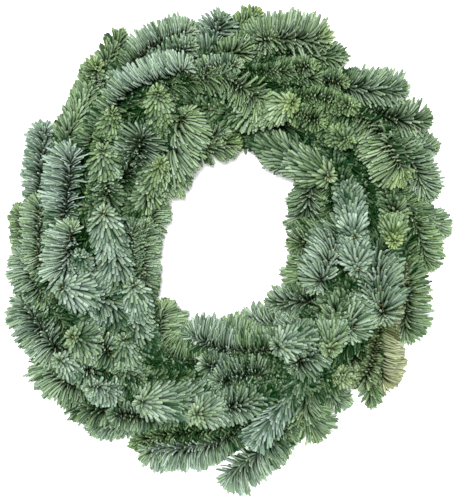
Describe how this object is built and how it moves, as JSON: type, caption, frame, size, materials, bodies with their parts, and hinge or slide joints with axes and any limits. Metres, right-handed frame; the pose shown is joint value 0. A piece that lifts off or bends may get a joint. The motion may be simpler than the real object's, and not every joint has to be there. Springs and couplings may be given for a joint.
{
  "type": "fresh evergreen wreath",
  "caption": "Round wreath of blue-green fir sprigs, all laid clockwise and bound with wire onto a straw ring, resting on its flat back with an open centre.",
  "frame": {"origin": "middle of the wreath's bounding box, on the plane of the straw ring's flat back that it lies on", "axes": "+Z out of the wreath's face, +X to the right and +Y to the top of the wreath as it is seen from the front"},
  "size_m": [0.4038, 0.4392, 0.0976],
  "materials": {
    "straw": "matte",
    "wire": "satin",
    "outer_fir": "satin",
    "crown_fir": "satin",
    "inner_fir": "satin"
  },
  "bodies": {
    "root": {"straw_ring": "straw", "binding_wire": "wire", "outer_sprig_01": "outer_fir", "outer_sprig_02": "outer_fir", "outer_sprig_03": "outer_fir", "outer_sprig_04": "outer_fir", "outer_sprig_05": "outer_fir", "outer_sprig_06": "outer_fir", "outer_sprig_07": "outer_fir", "outer_sprig_08": "outer_fir", "outer_sprig_09": "outer_fir", "outer_sprig_10": "outer_fir", "outer_sprig_11": "outer_fir", "outer_sprig_12": "outer_fir", "outer_sprig_13": "outer_fir", "outer_sprig_14": "outer_fir", "outer_sprig_15": "outer_fir", "outer_sprig_16": "outer_fir", "outer_sprig_17": "outer_fir", "outer_sprig_18": "outer_fir", "outer_sprig_19": "outer_fir", "outer_sprig_20": "outer_fir", "outer_sprig_21": "outer_fir", "outer_sprig_22": "outer_fir", "crown_sprig_01": "crown_fir", "crown_sprig_02": "crown_fir", "crown_sprig_03": "crown_fir", "crown_sprig_04": "crown_fir", "crown_sprig_05": "crown_fir", "crown_sprig_06": "crown_fir", "crown_sprig_07": "crown_fir", "crown_sprig_08": "crown_fir", "crown_sprig_09": "crown_fir", "crown_sprig_10": "crown_fir", "crown_sprig_11": "crown_fir", "crown_sprig_12": "crown_fir", "crown_sprig_13": "crown_fir", "crown_sprig_14": "crown_fir", "crown_sprig_15": "crown_fir", "crown_sprig_16": "crown_fir", "crown_sprig_17": "crown_fir", "crown_sprig_18": "crown_fir", "crown_sprig_19": "crown_fir", "crown_sprig_20": "crown_fir", "crown_sprig_21": "crown_fir", "crown_sprig_22": "crown_fir", "crown_sprig_23": "crown_fir", "inner_sprig_01": "inner_fir", "inner_sprig_02": "inner_fir", "inner_sprig_03": "inner_fir", "inner_sprig_04": "inner_fir", "inner_sprig_05": "inner_fir", "inner_sprig_06": "inner_fir", "inner_sprig_07": "inner_fir", "inner_sprig_08": "inner_fir", "inner_sprig_09": "inner_fir", "inner_sprig_10": "inner_fir", "inner_sprig_11": "inner_fir", "inner_sprig_12": "inner_fir"}
  },
  "joints": []
}
